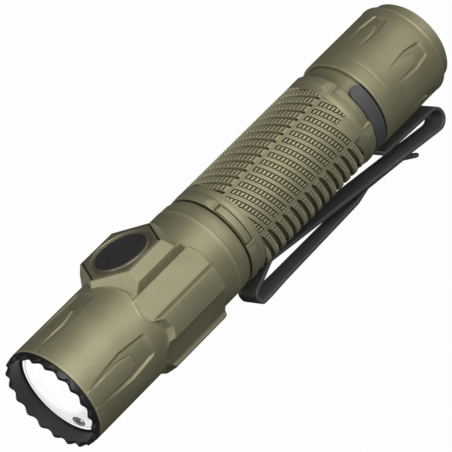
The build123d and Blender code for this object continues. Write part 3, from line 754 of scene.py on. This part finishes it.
class Shader:
    """Builds one node material."""

    def __init__(self, name):
        self.material = bpy.data.materials.new(name)
        self.material.use_nodes = True
        self.nodes = self.material.node_tree.nodes
        self.links = self.material.node_tree.links
        self.body = self.nodes["Principled BSDF"]
        self.place = self.nodes.new("ShaderNodeTexCoord").outputs["Object"]

    def link(self, source, target):
        self.links.new(source, target)

    def noise(self, per_mm, detail=3.0, rough=0.55):
        node = self.nodes.new("ShaderNodeTexNoise")
        node.inputs["Scale"].default_value = per_mm / MM
        node.inputs["Detail"].default_value = detail
        node.inputs["Roughness"].default_value = rough
        self.link(self.place, node.inputs["Vector"])
        return node.outputs["Fac"]

    def spread(self, value, low, high, source=(0.35, 0.65)):
        node = self.nodes.new("ShaderNodeMapRange")
        node.inputs["From Min"].default_value, node.inputs["From Max"].default_value = source
        node.inputs["To Min"].default_value, node.inputs["To Max"].default_value = low, high
        self.link(value, node.inputs["Value"])
        return node.outputs["Result"]

    def blend(self, factor, low, high):
        """Mixes two colours, each a tuple or a socket."""
        node = self.nodes.new("ShaderNodeMix")
        node.data_type = "RGBA"
        self.link(factor, node.inputs["Factor"])
        for name, colour in (("A", low), ("B", high)):
            socket = [s for s in node.inputs if s.name == name and s.type == "RGBA"][0]
            if isinstance(colour, tuple):
                socket.default_value = (*colour, 1.0)
            else:
                self.link(colour, socket)
        return [s for s in node.outputs if s.type == "RGBA"][0]

    def soft_edges(self, radius_mm):
        node = self.nodes.new("ShaderNodeBevel")
        node.samples = 4
        node.inputs["Radius"].default_value = radius_mm * MM
        return node.outputs["Normal"]

    def crease_shade_mask(self, reach_mm):
        """Mask for painted shade: 0 deep in grooves and corners, 1 on open faces."""
        node = self.nodes.new("ShaderNodeAmbientOcclusion")
        node.samples = 6
        node.inputs["Distance"].default_value = reach_mm * MM
        return self.spread(node.outputs["AO"], 0.0, 1.0, source=OPEN_FACE)

    def math(self, operation, first, second):
        """One step of arithmetic on a socket and a socket or a number."""
        node = self.nodes.new("ShaderNodeMath")
        node.operation = operation
        self.link(first, node.inputs[0])
        if isinstance(second, bpy.types.NodeSocket):
            self.link(second, node.inputs[1])
        else:
            node.inputs[1].default_value = second
        return node

    def off_diagonal(self):
        """1, but 0 near y = z, where the renderer joins neighbouring corners and misjudges their shape."""
        axes = self.nodes.new("ShaderNodeSeparateXYZ")
        self.link(self.place, axes.inputs[0])
        near = self.math("COMPARE", axes.outputs["Y"], axes.outputs["Z"])
        near.inputs[2].default_value = DIAGONAL_HALF * MM
        return self.spread(near.outputs[0], 1.0, 0.0)

    def painted_relief_light(self, source):
        """0 to 1 as a fine mesh's corners go from one pointedness to another. Flat faces are 0.5. Drives the
        painted highlight on raised corners and the painted shade on sunken ones.
        """
        geometry = self.nodes.new("ShaderNodeNewGeometry")
        worn = self.spread(geometry.outputs["Pointiness"], 0.0, 1.0, source)
        fine = self.nodes.new("ShaderNodeObjectInfo").outputs["Object Index"]
        worn = self.math("MULTIPLY", worn, fine).outputs[0]
        return self.math("MULTIPLY", worn, self.off_diagonal()).outputs[0]

    def edge_mask(self, bevelled):
        """0 on open faces, rising at edges, where the softened normal leaves the true one."""
        geometry = self.nodes.new("ShaderNodeNewGeometry")
        dot = self.nodes.new("ShaderNodeVectorMath")
        dot.operation = "DOT_PRODUCT"
        self.link(geometry.outputs["Normal"], dot.inputs[0])
        self.link(bevelled, dot.inputs[1])
        return self.spread(dot.outputs["Value"], 1.0, 0.0, source=(0.8, 0.995))

    def bump(self, height, depth_mm, strength=1.0, normal=None):
        node = self.nodes.new("ShaderNodeBump")
        node.inputs["Strength"].default_value = strength
        node.inputs["Distance"].default_value = depth_mm * MM
        self.link(height, node.inputs["Height"])
        if normal is not None:
            self.link(normal, node.inputs["Normal"])
        self.link(node.outputs["Normal"], self.body.inputs["Normal"])

    def put(self, **values):
        for name, value in values.items():
            socket = self.body.inputs[name.replace("_", " ")]
            if isinstance(value, bpy.types.NodeSocket):
                self.link(value, socket)
            else:
                socket.default_value = (*value, 1.0) if isinstance(value, tuple) else value


def coated(name, dark, light, metallic, rough, grain_mm=0.012, edge_light=0.0, edge_r=0.1, raised_light=0.0):
    """Anodised or painted metal: mottled colour, blasted grain, softened edges that catch the light, painted
    shade in creases, a painted highlight along edges, and with raised_light a painted highlight on raised
    corners and painted shade on sunken ones.
    """
    shader = Shader(name)
    cloud = shader.spread(shader.noise(0.12), 0.0, 1.0)
    grain = shader.noise(6.0, 2.0)
    colour = shader.blend(cloud, dark, light)
    colour = shader.blend(shader.spread(grain, 0.0, 0.22), colour, tuple(c * 1.35 for c in light))
    if raised_light:
        # Painted highlight on raised corners, then painted shade on sunken ones
        colour = shader.blend(shader.painted_relief_light(RAISED), colour, tuple(c * raised_light for c in light))
        colour = shader.blend(shader.painted_relief_light(SUNKEN), colour, tuple(c * 0.35 for c in dark))
    # Painted shade: creases and corners darkened towards a dim copy of the dark colour
    colour = shader.blend(shader.crease_shade_mask(1.0), tuple(c * 0.15 for c in dark), colour)
    edges = shader.soft_edges(edge_r)
    if edge_light:
        # Painted highlight along the edges; worn holds its strength
        worn = shader.math("MULTIPLY", shader.edge_mask(edges), edge_light).outputs[0]
        colour = shader.blend(worn, colour, tuple(min(1.0, c * 1.7 + 0.02) for c in light))
    shader.put(Base_Color=colour, Metallic=metallic,
               Roughness=shader.spread(grain, rough - 0.04, rough + 0.06))
    shader.bump(grain, grain_mm, 0.35, edges)
    return name, shader.material


def moulded(name, dark, light, rough, grain_mm=0.02, coat=0.0):
    """Plastic, rubber or ceramic with a fine moulded grain."""
    shader = Shader(name)
    grain = shader.noise(4.0, 4.0)
    shader.put(Base_Color=shader.blend(shader.spread(grain, 0, 1), dark, light),
               Roughness=shader.spread(shader.noise(0.8), rough - 0.06, rough + 0.06), Coat_Weight=coat)
    shader.bump(grain, grain_mm, 0.4, shader.soft_edges(0.1))
    return name, shader.material


def bare_metal(name, dark, light, rough):
    """Machined metal: fine turning marks and small tarnish patches."""
    shader = Shader(name)
    marks = shader.noise(8.0, 2.0)
    shader.put(Base_Color=shader.blend(shader.spread(shader.noise(0.7), 0, 1), dark, light), Metallic=1.0,
               Roughness=shader.spread(marks, rough - 0.08, rough + 0.08))
    shader.bump(marks, 0.01, 0.3, shader.soft_edges(0.08))
    return name, shader.material


def circuit_board(name, mask, track):
    """Board with lines of track under the mask."""
    shader = Shader(name)
    cells = shader.nodes.new("ShaderNodeTexVoronoi")
    cells.distance = "CHEBYCHEV"
    cells.feature = "DISTANCE_TO_EDGE"
    cells.inputs["Scale"].default_value = 0.5 / MM
    shader.link(shader.place, cells.inputs["Vector"])
    lines = shader.spread(cells.outputs["Distance"], 1.0, 0.0, source=(0.0, 0.12))
    shader.put(Base_Color=shader.blend(lines, mask, track), Roughness=0.35)
    shader.bump(lines, 0.03, 0.5)
    return name, shader.material


DARK, GREY, WHITE = (0.02, 0.02, 0.022), (0.2, 0.2, 0.21), (1.0, 1.0, 1.0)
# Centres of the painted glow on the lens window and the optic; their grey crescents of painted shade lie away
# from these
LENS_GLOW = (1.6, 1.6)
OPTIC_GLOW = (1.3, 0.4)
SENSOR_WINDOW = (0.6, -9.6)
SENSOR_SQUASH = 0.62
SENSOR_RINGS = (((1.42, 1.3), DARK), ((1.06, 1.0), GREY), ((0.88, 0.82), DARK))
SENSOR_GLINT = (-0.6, -9.3)


def lens_distance(shader, offset=(0.0, 0.0), squash=1.0):
    """Distance from the light's axis, or from a line beside it, in millimetres, with Y squashed."""
    axis = shader.nodes.new("ShaderNodeVectorMath")
    axis.operation = "MULTIPLY_ADD"
    axis.inputs[1].default_value = (0, squash / MM, 1 / MM)
    axis.inputs[2].default_value = (0, -offset[0] * squash, -offset[1])
    shader.link(shader.place, axis.inputs[0])
    size = shader.nodes.new("ShaderNodeVectorMath")
    size.operation = "LENGTH"
    shader.link(axis.outputs["Vector"], size.inputs[0])
    return size.outputs["Value"]


def past(shader, distance, edge):
    """0 to 1 as a distance passes from the first of the edge's two values to the second."""
    return shader.spread(distance, 0.0, 1.0, source=edge)


def clear_window(name):
    """Clear glass over the optic, drawn as a painted white glow: milky, with a dim crescent of painted shade,
    the sensor's window with a painted glint, and a ground edge.
    """
    shader = Shader(name)
    away = lens_distance(shader)
    # Painted glow in white, with a crescent of painted shade away from its centre
    face = shader.blend(past(shader, lens_distance(shader, LENS_GLOW), (8.2, 9.4)), WHITE, (0.8, 0.8, 0.81))
    face = shader.blend(shader.spread(shader.noise(0.3), 0.0, 0.25), face, (0.88, 0.88, 0.89))
    sensor = lens_distance(shader, SENSOR_WINDOW, SENSOR_SQUASH)
    for edge, colour in SENSOR_RINGS:
        face = shader.blend(past(shader, sensor, edge), face, colour)
    # Painted glint beside the sensor
    glint = past(shader, lens_distance(shader, SENSOR_GLINT), (0.4, 0.28))
    face = shader.blend(glint, face, (0.9, 0.9, 0.92))
    face = shader.blend(past(shader, away, (11.05, 11.12)), face, GREY)
    face = shader.blend(past(shader, away, (11.22, 11.3)), face, (0.99, 0.99, 0.99))
    # The face shows as painted glow over a little of the clear glass
    shine = shader.nodes.new("ShaderNodeEmission")
    shader.link(face, shine.inputs["Color"])
    glass = shader.nodes.new("ShaderNodeBsdfTransparent")
    mix = shader.nodes.new("ShaderNodeMixShader")
    shader.link(shader.spread(away, 0.92, 0.98, source=(10.9, 11.05)), mix.inputs["Fac"])
    shader.link(glass.outputs["BSDF"], mix.inputs[1])
    shader.link(shine.outputs["Emission"], mix.inputs[2])
    shader.link(mix.outputs["Shader"], shader.nodes["Material Output"].inputs["Surface"])
    return name, shader.material


def frosted_optic(name):
    """White frosted optic with a soft painted glow, and a greyer crescent of painted shade towards its rim on
    one side.
    """
    shader = Shader(name)
    # Painted shade: a greyer crescent away from the glow's centre
    crescent = past(shader, lens_distance(shader, OPTIC_GLOW), (9.6, 10.6))
    haze = shader.spread(shader.noise(1.5), 0.0, 0.12)
    tone = shader.blend(haze, shader.blend(crescent, WHITE, (0.52, 0.53, 0.54)), (0.8, 0.8, 0.8))
    shader.put(Base_Color=tone, Roughness=shader.spread(shader.noise(3.0), 0.25, 0.4), Emission_Color=tone,
               Emission_Strength=0.8)
    shader.bump(shader.noise(5.0), 0.02, 0.2)
    return name, shader.material


def make_materials():
    """One material for each slot in the record, under the slot's name."""
    return dict((
        coated("olive_anodised", (0.30, 0.285, 0.185), (0.35, 0.335, 0.22), 0.8, 0.6, edge_light=0.6,
               raised_light=1.5),
        coated("olive_plate", (0.22, 0.2, 0.135), (0.27, 0.245, 0.165), 0.7, 0.5, edge_light=0.9),
        coated("black_anodised", (0.012, 0.012, 0.014), (0.02, 0.02, 0.023), 0.3, 0.42, edge_light=0.1),
        coated("spring_steel_black", (0.085, 0.085, 0.09), (0.11, 0.11, 0.115), 0.35, 0.42),
        coated("button_grey", (0.022, 0.022, 0.024), (0.03, 0.03, 0.032), 0.0, 0.55, 0.02),
        clear_window("lens_glass"),
        frosted_optic("optic_plastic"),
        moulded("white_silicone", (0.75, 0.76, 0.77), (0.9, 0.9, 0.9), 0.55),
        moulded("seal_rubber", (0.012, 0.012, 0.012), (0.022, 0.022, 0.022), 0.6),
        moulded("sensor_plastic", (0.012, 0.012, 0.015), (0.025, 0.025, 0.03), 0.2, 0.004, 0.5),
        moulded("white_plastic", (0.68, 0.68, 0.65), (0.8, 0.8, 0.78), 0.45),
        moulded("emitter_phosphor", (0.85, 0.7, 0.2), (0.95, 0.85, 0.35), 0.35),
        moulded("component_black", (0.03, 0.03, 0.033), (0.06, 0.06, 0.065), 0.45),
        moulded("wire_insulation", (0.42, 0.03, 0.025), (0.6, 0.05, 0.04), 0.5),
        moulded("cell_wrap", (0.08, 0.09, 0.1), (0.12, 0.13, 0.15), 0.35, 0.01, 0.2),
        circuit_board("board_copper", (0.78, 0.78, 0.74), (0.7, 0.42, 0.2)),
        circuit_board("board_green", (0.015, 0.1, 0.04), (0.05, 0.22, 0.1)),
        bare_metal("screw_steel", (0.42, 0.42, 0.43), (0.6, 0.6, 0.61), 0.32),
        bare_metal("contact_brass", (0.72, 0.5, 0.2), (0.86, 0.66, 0.32), 0.28),
        bare_metal("magnet_nickel", (0.55, 0.54, 0.52), (0.7, 0.69, 0.67), 0.16)))


def dress(pieces, materials):
    """Gives every CAD node and every new piece the material of its slot."""
    slots = {part["node"]: part["material_slot"] for part in frame["record"]["subparts"]}
    worn = [(node, slots[name]) for name, node in frame["nodes"].items()]
    for thing, slot in worn + [(piece, piece["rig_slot"]) for piece in pieces]:
        thing.data.materials.clear()
        thing.data.materials.append(materials[slot])


# -------- stage

FLOOR_REACH = 4.0
FLOOR_GAP = 0.0005
PAPER_WHITE = 0.985
FILL = 0.035
LIGHTS = (("key", (-0.1, -0.73, 0.68), 0.8, (0.6, 0.55), 6.6, (1.0, 0.99, 0.95)),
          ("front", (-0.96, -0.1, 0.3), 0.8, (0.3, 0.3), 2.0, (1.0, 1.0, 1.0)),
          ("far_side", (-0.2, 1.0, -0.12), 0.9, (0.6, 0.3), 2.2, (1.0, 1.0, 1.0)),
          ("tail", (1.0, -0.2, 0.15), 0.8, (0.4, 0.3), 1.2, (1.0, 1.0, 1.0)))
VIEW_FROM = (-0.33954, -0.62845, 0.38157)
VIEW_RIGHT = (0.6187, -0.6588, -0.428)
VIEW_UP = (0.6199, 0.0746, 0.7811)
VIEW_BACK = (-0.4827, -0.7486, 0.4545)
FOCAL_LENGTH = 279.4


def seen_and_lit(tree, seen, lit, output):
    """Shows one shader to the camera and another to everything else."""
    path = tree.nodes.new("ShaderNodeLightPath")
    mix = tree.nodes.new("ShaderNodeMixShader")
    tree.links.new(path.outputs["Is Camera Ray"], mix.inputs["Fac"])
    tree.links.new(lit, mix.inputs[1])
    tree.links.new(seen, mix.inputs[2])
    tree.links.new(mix.outputs["Shader"], output.inputs["Surface"])


def make_floor(low_z):
    """Pale floor under the light, darker to everything but the camera."""
    mesh = bpy.data.meshes.new("floor")
    reach = FLOOR_REACH
    mesh.from_pydata([(-reach, -reach, 0), (reach, -reach, 0), (reach, reach, 0), (-reach, reach, 0)], [],
                     [(0, 1, 2, 3)])
    floor = bpy.data.objects.new("floor", mesh)
    floor.location.z = low_z - FLOOR_GAP
    bpy.context.scene.collection.objects.link(floor)
    material = bpy.data.materials.new("floor_paper")
    material.use_nodes = True
    tree = material.node_tree
    bright = tree.nodes.new("ShaderNodeEmission")
    bright.inputs["Color"].default_value = (1, 1, 1, 1)
    bright.inputs["Strength"].default_value = PAPER_WHITE
    paper = tree.nodes["Principled BSDF"]
    paper.inputs["Base Color"].default_value = (0.12, 0.12, 0.12, 1)
    paper.inputs["Roughness"].default_value = 0.9
    seen_and_lit(tree, bright.outputs[0], paper.outputs[0], tree.nodes["Material Output"])
    mesh.materials.append(material)


def make_world():
    """Pale surround that lends only a faint light of its own."""
    world = bpy.data.worlds.new("studio")
    world.use_nodes = True
    tree = world.node_tree
    surround = tree.nodes.new("ShaderNodeBackground")
    surround.inputs["Color"].default_value = (1, 1, 1, 1)
    surround.inputs["Strength"].default_value = PAPER_WHITE
    fill = tree.nodes["Background"]
    fill.inputs["Color"].default_value = (0.95, 0.97, 1.0, 1)
    fill.inputs["Strength"].default_value = FILL
    seen_and_lit(tree, surround.outputs[0], fill.outputs[0], tree.nodes["World Output"])
    bpy.context.scene.world = world


def make_lights(middle):
    """Rectangular lamps round the light, each in its own direction from the middle and facing it."""
    for name, direction, distance, size, power, tint in LIGHTS:
        lamp = bpy.data.lights.new(name, "AREA")
        lamp.shape = "RECTANGLE"
        lamp.size, lamp.size_y = size
        lamp.energy = power
        lamp.color = tint
        thing = bpy.data.objects.new(name, lamp)
        bpy.context.scene.collection.objects.link(thing)
        away = Vector(direction).normalized() * distance
        thing.location = middle + away
        thing.rotation_euler = (-away).to_track_quat("-Z", "Y").to_euler()


def make_camera():
    """Long-lens camera at the viewing angle of the reference."""
    lens = bpy.data.cameras.new("camera")
    lens.sensor_width = 36.0
    lens.lens = FOCAL_LENGTH
    lens.clip_start, lens.clip_end = 0.05, 20.0
    camera = bpy.data.objects.new("camera", lens)
    turn = Matrix((VIEW_RIGHT, VIEW_UP, VIEW_BACK)).transposed().to_4x4()
    camera.matrix_world = Matrix.Translation(VIEW_FROM) @ turn
    bpy.context.scene.collection.objects.link(camera)
    bpy.context.scene.camera = camera


pieces = [make_head(), make_pod(), make_plate(), make_tube(), make_tail_cap(), make_bezel(), make_arms(),
          make_band()]
dress(pieces, make_materials())
make_floor(cad_box[0][2])
make_world()
make_lights(Vector(((cad_box[0][0] + cad_box[1][0]) / 2, 0.0, 0.0)))
make_camera()
bpy.context.scene.view_settings.view_transform = "Standard"
